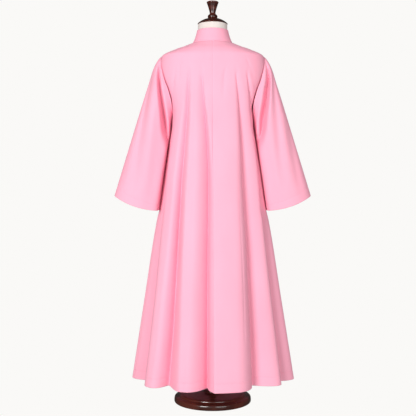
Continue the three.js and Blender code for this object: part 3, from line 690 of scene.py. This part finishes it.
def wood_material(name, dark, light, size):
    """Varnished turned wood: grain under a clear coat whose gloss is broken very slightly."""
    material, tree, shader = new_material(name)
    place = tree.nodes.new("ShaderNodeTexCoord")
    grain = tree.nodes.new("ShaderNodeGroup")
    grain.node_tree = GRAIN
    feed(tree, grain, Place=place.outputs["Object"], Size=size)
    streak, pore = grain.outputs["Streak"], grain.outputs["Pore"]
    mask = math_node(tree, "MULTIPLY_ADD", streak, 0.7, math_node(tree, "MULTIPLY", pore, 0.3))
    feed(
        tree, shader,
        Base_Color=ramp_colour(tree, mask, (0.2, dark), (0.8, light)),
        Roughness=math_node(tree, "MULTIPLY_ADD", pore, 0.12, 0.24),
        Normal=bump(tree, pore, 0.00004, 0.4),
        Specular_IOR_Level=0.4, Coat_Weight=0.7, Coat_Roughness=0.08,
    )
    return material


CLOTH_PINK = cloth_material(
    "pink cassock cloth", (0.93, 0.395, 0.515), (0.965, 0.425, 0.55), 2200.0, sheen=0.12, roughness=0.82)
BUTTON_PINK = cloth_material(
    "pink button cloth", (0.91, 0.37, 0.485), (0.95, 0.41, 0.53), 2200.0, sheen=0.12, roughness=0.8)
THREAD_PINK = cloth_material(
    "pink sewing thread", (0.87, 0.315, 0.43), (0.93, 0.375, 0.49), 5200.0, sheen=0.1, roughness=0.7)
JERSEY = cloth_material(
    "form jersey cover", (0.70, 0.63, 0.59), (0.76, 0.69, 0.65), 1400.0, sheen=0.1, roughness=0.9)
MAHOGANY = wood_material("dark varnished wood", (0.038, 0.007, 0.004), (0.085, 0.017, 0.010), size=1.0)


# Cloth panels
def panel_columns(side, behind, count=104):
    """Places across a panel, closer together in the folds and beside the seams."""
    samples = np.linspace(0, 1, 721)
    angle = panel_angle(side, behind, 90 * samples)
    weight = np.ones_like(samples)
    valleys = []
    for _, fold in SKIRT_FOLDS:
        centre, depth, before, after = (fold[name][0] for name in FOLD.split()[1:])
        from_side = panel_place(side, behind, centre)
        valleys += [from_side / 90] if from_side < 90 else []
        off = np.mod(angle - centre + 180, 360) - 180
        weight += np.where((off > -before) & (off < after), 0.03 * depth, 0)
    total = np.concatenate([[0], np.cumsum((weight[1:] + weight[:-1]) / 2)])
    spread = np.interp(np.linspace(0, total[-1], count), total, samples)
    beside = np.array([0.0012, 0.003, 0.006, 0.01, 0.016])
    return np.unique(np.concatenate([spread, beside, 1 - beside, valleys]))


def panel_rows():
    """Levels up a panel, closer together at the hem, the armhole's ends, the shoulder and the neck."""
    return np.unique(np.concatenate([
        [92, 93, 95, 98, 104, 112, 119, 124, 125.5, 127, 129, 133, 140],
        np.arange(150, 1160, 11.0),
        [1160, 1166, 1170, 1170.8, 1172, 1174, 1177, 1181, 1186, 1192],
        np.arange(1200, 1385, 9.0),
        [1385, 1392, 1398, 1403, 1406.5, 1409, 1412, 1416, 1421, 1427, 1433, 1439, 1445, 1451, 1456, 1460],
        [NECK],
    ]))


def panel(node, side, behind):
    """A back or a front, cut from the hem to the neck, thicker where its hem is turned up."""
    level = panel_rows()[:, None]
    place = panel_columns(side, behind)[None, :]
    wall = CLOTH + HEM_TURN * (1 - smoothstep(level, HEM + HEM_DEPTH, HEM + HEM_DEPTH + 2))
    outer, normal = panel_sheet(side, behind, place, level)
    return cloth_sheet(node, outer, normal, wall, flip=side * behind < 0, across_from=place.size - 1)


# Sleeves
def armhole_loop():
    """Points on the armhole's edge, the turn of each, and which way and how far the seam is sunk there."""
    turns, found, sunk = [], [], []
    down = ARMHOLE_LEVELS[::-1]
    spans = [(1, down[i], down[i + 1]) for i in range(8)]
    spans += [(-1, ARMHOLE_LEVELS[i], ARMHOLE_LEVELS[i + 1]) for i in range(8)]
    for k, (behind, first, last) in enumerate(spans):
        t = np.linspace(0, 1, 60)
        share = 1 - (1 - t) ** 3 if behind > 0 else t**3
        level = first + (last - first) * share
        angle = armhole_angle(behind, level) * behind
        point = garment_body(angle, level)
        dip, reach = armhole_dip(behind, level)
        sunk.append(np.stack([0 * dip, behind * dip, 0 * dip, reach], 1))
        run = np.concatenate([[0], np.cumsum(np.linalg.norm(np.diff(point, axis=0), axis=-1))])
        turns.append((k + run / run[-1]) / 16)
        found.append(point)
    return np.concatenate(turns), np.concatenate(found), np.concatenate(sunk)


LOOP_TURNS, LOOP_POINTS, LOOP_DIPS = armhole_loop()


def along_line(values, run, at):
    """Rows of values given along a run, read between them at other places."""
    return np.stack([np.interp(at, run, column) for column in values.T], -1)


def loop_values(values, turn):
    """Values along the armhole's loop, read at a turn."""
    return along_line(values, LOOP_TURNS, np.mod(turn, 1))


def sleeve_tube(at, turn):
    """An ellipse between the outer and inner edges at each place; the cuff droops behind and before."""
    cos, sin = np.cos(2 * np.pi * turn), np.sin(2 * np.pi * turn)
    edge = {name: read(SLEEVE_STATIONS, name, at) for name in SLEEVE_STATIONS if name != "at"}
    lean = FRONT_LEAN * np.clip(-sin, 0, 1) * smoothstep(at, 0.02, 0.16)
    drop = CUFF_DROP * sin * sin * smoothstep(at, CUFF_DROP_START, 1)
    x = (edge["outer_x"] + edge["inner_x"]) / 2 + (edge["outer_x"] - edge["inner_x"]) / 2 * cos
    z = (edge["outer_z"] + edge["inner_z"]) / 2 + (edge["outer_z"] - edge["inner_z"]) / 2 * cos
    return points(x - lean, edge["half_depth"] * sin, z - drop)


def smooth_sleeve(at, turn):
    """The armhole's loop turns into the tube over the first fifth of the sleeve."""
    loop = loop_values(LOOP_POINTS, turn) + np.array([SEAM_GAP, 0, 0])
    share = smoothstep(at, 0, ARMHOLE_BLEND)[..., None]
    return loop * (1 - share) + sleeve_tube(at, turn) * share


SLEEVE_LENGTH, GIRTH_SHARE = 610.0, 1.2
CAP_EASE, CAP_EASE_PLACE, CAP_EASE_REACH = 1.2, 14.0, 9.0
TUCK, TUCK_TURN, TUCK_WIDTH = 9.0, 0.41, 0.05


def sleeve_sheet(side, at, turn):
    """A sleeve's outer points and normals: the left one's, with the side's own creases, then mirrored."""
    def creased(at, turn):
        base = smooth_sleeve(at, turn)
        behind = np.sin(2 * np.pi * turn)
        shape = np.broadcast(at, turn).shape
        sunk = crease_depth(SLEEVE_CREASES, np.full(shape, side), behind, base[..., 0], base[..., 2])
        sunk = sunk * np.sign(behind) * smoothstep(np.abs(behind), 0, 0.6)
        return base - sunk[..., None] * AXES[1]

    at, turn = np.broadcast_arrays(at, turn)
    point = creased(at, turn)
    normal = surface_normal(creased, np.maximum(at, 0.004), turn, 0.004, 0.004)
    along = at * SLEEVE_LENGTH
    dip = loop_values(LOOP_DIPS, turn)
    point = point - dip[..., :3] * slit(along, dip[..., 3])[..., None]
    tuck = TUCK * np.exp(-(((turn - TUCK_TURN) / TUCK_WIDTH) ** 2)) * smoothstep(at, 0.12, 0.3)
    ease = CAP_EASE * np.exp(-(((along - CAP_EASE_PLACE) / CAP_EASE_REACH) ** 2))
    girth = 2 * np.pi * read(SLEEVE_STATIONS, "half_depth", at) * GIRTH_SHARE
    sunk = seam_sink((turn - 0.5) * girth, 0.8, 2.6) * smoothstep(at, 0.02, 0.06)
    sunk = sunk + seam_sink((1 - at) * SLEEVE_LENGTH - CUFF_HEM_DEPTH, STITCHED_SINK, STITCHED_REACH)
    mirror = np.array([side, 1, 1])
    return (point + normal * (tuck + ease - sunk)[..., None]) * mirror, normal * mirror


def sleeve(node, side):
    """A sleeve from the armhole to its turned-up cuff."""
    at = np.unique(np.concatenate([
        [0, 0.002, 0.005, 0.009, 0.014, 0.02, 0.028], np.arange(0.036, 0.93, 0.0135),
        [0.938, 0.942, 0.946, 0.955, 0.968, 0.98, 0.99, 0.996, 0.999, 1],
    ]))[:, None]
    beside_seam = 0.5 + np.array([-0.008, -0.004, -0.002, 0.002, 0.004, 0.008])
    turn = np.unique(np.concatenate([np.arange(150) / 150, beside_seam]))[None, :]
    start = 1 - CUFF_HEM_DEPTH / SLEEVE_LENGTH
    wall = CLOTH + HEM_TURN * smoothstep(at, start - 0.003, start)
    return cloth_sheet(node, *sleeve_sheet(side, at, turn), wall, tube=True, flip=side > 0)


# Collar
def collar_band(angle, up):
    """A band from the neckline to a smaller ring above it, a little hollow half way up."""
    foot = smooth_body(angle, np.broadcast_to(NECK, np.broadcast(angle, up).shape))
    before = before_axis(angle) ** 2
    radius = COLLAR_RADIUS + (COLLAR_FRONT_RADIUS - COLLAR_RADIUS) * before
    top = points(radius * np.cos(np.radians(angle)), radius * np.sin(np.radians(angle)),
                 COLLAR_TOP - FRONT_NECK_DROP * before)
    point = foot * (1 - up[..., None]) + top * up[..., None]
    hollow = 1 - COLLAR_HOLLOW * 4 * up * (1 - up) / radius
    gap = np.stack([np.zeros_like(up), np.zeros_like(up), SEAM_GAP * (1 - up)], -1)
    return point * np.stack([hollow, hollow, np.ones_like(hollow)], -1) + gap


def collar_sheet(angle, up):
    """The collar's outer points and normals, rolled in at its foot."""
    angle, up = np.broadcast_arrays(angle, up)
    point = collar_band(angle, up)
    normal = surface_normal(collar_band, angle, np.clip(up, 0.03, 0.97), 0.4, 0.03)
    return point - normal * seam_sink(up * (COLLAR_TOP - NECK), 0.9, 2.2)[..., None], normal


def collar():
    """The band collar, its left end lapped over its right."""
    columns = 190
    angle = np.linspace(-90 - COLLAR_LAP_ANGLE, 270 + COLLAR_LAP_ANGLE, columns)[None, :]
    up = np.array([0, 0.02, 0.05, 0.09, 0.15, 0.25, 0.4, 0.55, 0.7, 0.82, 0.9, 0.96, 0.99, 1])[:, None]
    outer, normal = collar_sheet(angle, up)
    under = np.where(np.arange(columns) > columns // 2, underlap(outer, COLLAR_CLOTH + 0.2), 0)
    outer = outer - normal * under[..., None]
    return cloth_sheet("collar", outer, normal, COLLAR_CLOTH, across_from=columns // 2)


# Buttons
def facet(surface, place, step):
    """A place at the centre front of a surface, with its outward normal and the way up along the cloth."""
    low, middle, high = (surface(np.array(270.0), np.array(place + way * step)) for way in (-1, 0, 1))
    up = unit(high - low)
    return middle, np.cross(AXES[0], up), up


def covered_button(number, point, normal, up):
    """A cloth-covered dome with a drawn-in rim: a profile turned about the facet's normal."""
    profile = np.array([(0, 0), (0.7, 0), (0.86, 0.04), (0.97, 0.16), (1, 0.3), (0.97, 0.45), (0.88, 0.62),
                        (0.72, 0.8), (0.5, 0.92), (0.25, 0.985), (0, 1)])
    right = np.cross(up, normal)
    middle = point + normal * (BUTTON_LIFT + profile[:, 1:] * BUTTON_HEIGHT)
    wall = circle(middle[1:-1], right, up, profile[1:-1, :1, None] * BUTTON_RADIUS, 36)
    vertices, faces = closed_rings(wall, middle[0], middle[-1])
    flat = np.stack([(vertices - point) @ right, (vertices - point) @ up], -1)
    piece = add_mesh(f"covered_button_{number}", vertices, faces, [flat[f] for f in faces], BUTTON_PINK)
    return dressed(piece, "button_cloth", f"button_{number}")


# Thread
ARMHOLE_ROW, EDGE_ROW, BELOW_TURN = 8.0, 6.0, 1.2
HOLE_LENGTH, HOLE_ASIDE, HOLE_HALF_WIDTH, HOLE_CORD = 17.0, 4.5, 0.62, 0.55


def thread(name, body, faces, along, around):
    """A piece of sewing thread, its cut measured along it and around it."""
    spread = np.stack(np.broadcast_arrays(along, around), -1).reshape(-1, 2)
    return dressed(add_mesh(name, body, [faces], [spread[faces]], THREAD_PINK), "cassock_cloth")


def stitches(name, point, normal, pitch=3.2, length=2.5, width=0.6):
    """A row of stitches along a line, each a small arch of thread that is drawn in at its ends."""
    run = np.concatenate([[0], np.cumsum(np.linalg.norm(np.diff(point, axis=0), axis=-1))])
    count = int(run[-1] // pitch)
    centre = (np.arange(count) + 0.5) * run[-1] / count
    offset = np.linspace(-0.5, 0.5, 5)
    place = centre[:, None] + offset * length
    middle = along_line(point, run, place)
    away = unit(along_line(normal, run, place))
    along = unit(middle[:, -1:] - middle[:, :1])
    arch = (1 - (2 * offset) ** 2)[None, :, None]
    middle = middle + away * (arch * 0.45 - 0.2)
    thick = width / 2 * (0.45 + 0.55 * arch[..., None])
    body = circle(middle, unit(np.cross(along, away)), away, thick, 6)
    each = 5 * 6
    quads = np.concatenate([
        grid_quads(np.arange(each).reshape(5, 6), True)[:, ::-1],
        [[0, 1, 2, 3], [0, 3, 4, 5], [27, 26, 25, 24], [29, 28, 27, 24]],
    ])
    faces = (quads[None] + np.arange(count)[:, None, None] * each).reshape(-1, 4)
    return thread(name, body, faces, place[:, :, None], np.radians(np.arange(6) * 60) * width / 2)


def turned_up_rows():
    """Stitches round the hem and the cuffs, just under the top of what is turned up."""
    for name, side, behind in PANELS:
        place = np.linspace(0.004, 0.996, 500)
        level = np.full(500, HEM + HEM_DEPTH - BELOW_TURN)
        stitches(f"{name}_hem_stitches", *panel_sheet(side, behind, place, level))
    for name, side in SLEEVES:
        at = np.full(500, 1 - (CUFF_HEM_DEPTH - BELOW_TURN) / SLEEVE_LENGTH)
        stitches(f"{name}_cuff_stitches", *sleeve_sheet(side, at, np.linspace(0, 1, 500)))


def armhole_rows():
    """Stitches on the panels beside the armholes: each at the place whose length from the edge is right."""
    level = np.linspace(UNDERARM + 8, SHOULDER - 6, 300)
    for name, side, behind in PANELS:
        edge = armhole_angle(behind, level)
        radius = np.hypot(*np.moveaxis(smooth_body(panel_angle(side, behind, edge), level)[..., :2], -1, 0))
        place = np.linspace(0, 0.4, 800)[:, None]
        beyond = np.radians(place * 90 + edge * ((1 - place) ** 3 - 1)) * radius
        nearest = place[np.argmin(np.abs(beyond - ARMHOLE_ROW), axis=0), 0]
        stitches(f"{name}_armhole_stitches", *panel_sheet(side, behind, nearest, level))


def edge_rows():
    """Stitches down the left front's lapped edge and round the collar's foot and top."""
    level = np.linspace(HEM + 3, NECK - 5, 700)
    end = 90 + length_angle(LAP, -1, level)
    place = 1 - length_angle(EDGE_ROW, -1, level) / end
    stitches("front_left_edge_stitches", *panel_sheet(1, -1, place, level))
    angle = np.linspace(-89 - COLLAR_LAP_ANGLE, 268 - COLLAR_LAP_ANGLE, 500)
    for name, up in (("foot", 0.07), ("top", 0.93)):
        stitches(f"collar_{name}_stitches", *collar_sheet(angle, np.full(500, up)))


def buttonhole(number, point, normal, up):
    """A worked buttonhole: a round cord of close stitches laid along a narrow closed loop of points."""
    turn = np.radians(np.arange(28) * 360 / 28)
    right = np.cross(up, normal)
    along = np.cos(turn) * HOLE_LENGTH / 2 * (1 - 0.12 * np.cos(2 * turn))
    beside = np.clip(np.sin(turn) * 3, -1, 1) * HOLE_HALF_WIDTH
    middle = point + (along + HOLE_ASIDE)[:, None] * right + beside[:, None] * up + normal * 0.2
    middle = middle - normal * ((along + HOLE_ASIDE) ** 2 / 2 / np.hypot(point[0], point[1]))[:, None]
    away = unit(middle - (point + HOLE_ASIDE * right + along[:, None] * 0.9 * right))
    body = circle(middle, away, normal, HOLE_CORD, 8)
    index = np.arange(28 * 8).reshape(28, 8)
    faces = grid_quads(np.concatenate([index, index[:1]], 0), True)
    around = np.radians(np.arange(8) * 45) * HOLE_CORD
    return thread(f"buttonhole_{number}", body, faces, turn[:, None] * HOLE_LENGTH / 3, around)


# Dress form
def form_point(angle, level):
    """The body's smooth form sunk by the inset, with room at the front for the lapped edges."""
    room = LAP_ROOM * smoothstep(before_axis(angle), 0.5, 0.9)
    inset = read(FORM_INSETS, "inset", level) + room
    normal = surface_normal(smooth_body, angle, level, 0.4, 2)
    return smooth_body(angle, level) - normal * inset[..., None]


def form_body():
    """The form's torso and neck as a closed stack of rings, its underside rounded in to a flat bottom."""
    sides = 120
    angle = np.arange(sides) * 360 / sides
    level = np.unique(np.concatenate([
        [745, 748, 752, 757], np.arange(766, 1400, 12.0), np.arange(1404, 1464, 5.9),
    ]))
    torso = form_point(angle, np.broadcast_to(level[:, None], (len(level), sides)))
    torso[0, :, 2] = level[0]
    level = np.array([
        1472, 1476, 1480, 1484, 1492, 1500, 1508, 1513, 1515.2, 1516.2, 1517.2, 1518.2, 1520.5, 1526, 1532,
        1537, 1540, 1541,
    ])[:, None]
    groove = NECK_GROOVE * np.exp(-(((level - NECK_GROOVE_LEVEL) / 0.9) ** 2))
    radius = read(NECK_RINGS, "radius", level) - groove
    height = level - read(NECK_RINGS, "front_drop", level) * before_axis(angle) ** 2
    neck = points(radius * np.cos(np.radians(angle)), radius * np.sin(np.radians(angle)), height)
    rings = np.concatenate([torso, neck])
    vertices, faces = closed_rings(rings, rings[0, 0] * AXES[2], rings[-1, 0] * AXES[2])
    turned = np.concatenate([np.broadcast_to(angle, rings.shape[:2]).ravel() * FORM_ARC, [0, 0]])
    flat = np.stack([turned, vertices[:, 2]], -1)
    uv = [flat[f] for f in faces]
    uv[0].reshape(len(rings) - 1, sides, 4, 2)[:, -1, 1:3, 0] = 360 * FORM_ARC
    return dressed(add_mesh("form_cover", vertices, faces, uv, JERSEY), "form_cover", "form_torso")


form = form_body()
lathe("base", BASE_PROFILE, 128)
lathe("cap", CAP_PROFILE, 96)
lathe("finial", FINIAL_PROFILE, 72)
lathe("pole", POLE_PROFILE, 48, cuts=1, keep=0.01)

PANELS = (("back_left", 1, 1), ("back_right", -1, 1), ("front_left", 1, -1), ("front_right", -1, -1))
SLEEVES = (("sleeve_left", 1), ("sleeve_right", -1))
sheets = {name: panel(name, side, behind) for name, side, behind in PANELS}
sheets |= {name: sleeve(name, side) for name, side in SLEEVES}
sheets["collar"] = collar()

facets = {
    f"{k + 1:02d}": facet(garment_body, BUTTON_FIRST - k * BUTTON_PITCH, 3) for k in range(BUTTON_COUNT)
}
facets["collar"] = facet(collar_band, COLLAR_BUTTON_UP, 0.05)
for number, place in facets.items():
    covered_button(number, *place)
    buttonhole(number, *place)
turned_up_rows()
armhole_rows()
edge_rows()

# Camera, as the photograph was taken: behind the garment, level with its middle
EYE = Vector((18.9, 3137.0, 863.0)) * MM
HORIZON_SHIFT = -18 / 416
camera = bpy.data.objects.new("camera", bpy.data.cameras.new("camera"))
camera.data.sensor_width = 36.0
camera.data.lens = 66.2
camera.data.clip_start, camera.data.clip_end = 0.05, 60.0
camera.location = EYE
camera.data.shift_y = HORIZON_SHIFT
camera.rotation_euler = (math.radians(90), 0, math.radians(180))
bpy.context.scene.collection.objects.link(camera)
bpy.context.scene.camera = camera

# Pale studio
PALE = (0.956, 0.947, 0.930, 1)
SURROUND, GLOSS_CUT = 0.42, 0.85


def glow(tree):
    """How strongly the surround shines: in full to the camera, less as light and still less in gloss."""
    path = add_node(tree, "ShaderNodeLightPath").outputs
    lit = math_node(tree, "MULTIPLY_ADD", path["Is Camera Ray"], 1.0 - SURROUND, SURROUND)
    dim = math_node(tree, "MULTIPLY_ADD", path["Is Glossy Ray"], -GLOSS_CUT, 1.0)
    return math_node(tree, "MULTIPLY", lit, dim)


def studio_world():
    """A pale surround."""
    world = bpy.data.worlds.new("studio")
    bpy.context.scene.world = world
    world.use_nodes = True
    tree = world.node_tree
    feed(tree, tree.nodes["Background"], Color=PALE, Strength=glow(tree))


def floor_material():
    """A pale floor that shines by itself, as the surround does."""
    material, tree, _ = new_material("studio floor")
    tree.nodes.clear()
    emission = add_node(tree, "ShaderNodeEmission", Color=PALE, Strength=glow(tree))
    add_node(tree, "ShaderNodeOutputMaterial", Surface=emission.outputs[0])
    return material


def area_light(name, place, aim, size, power):
    """A soft square light that faces a point."""
    data = bpy.data.lights.new(name, "AREA")
    data.size = size
    data.energy = power
    light = bpy.data.objects.new(name, data)
    light.location = place
    light.rotation_euler = (Vector(aim) - Vector(place)).to_track_quat("-Z", "Y").to_euler()
    bpy.context.scene.collection.objects.link(light)
    return light


studio_world()
FLOOR = 9000
corners = [(-FLOOR, -FLOOR, 0), (FLOOR, -FLOOR, 0), (FLOOR, FLOOR, 0), (-FLOOR, FLOOR, 0)]
floor = add_mesh("studio_floor", corners, [np.array([[0, 1, 2, 3]])], None, floor_material())
area_light("key", (1.75, 3.6, 1.5), (0, 0, 0.7), 1.4, 122.0)
area_light("fill", (-1.7, 3.8, 1.2), (0, 0, 0.65), 2.2, 56.0)
front = area_light("front", (0.6, -3.6, 1.8), (0, 0, 0.9), 2.0, 84.0)
front.visible_glossy = False
view = bpy.context.scene.view_settings
view.view_transform = "Standard"
view.look = "None"
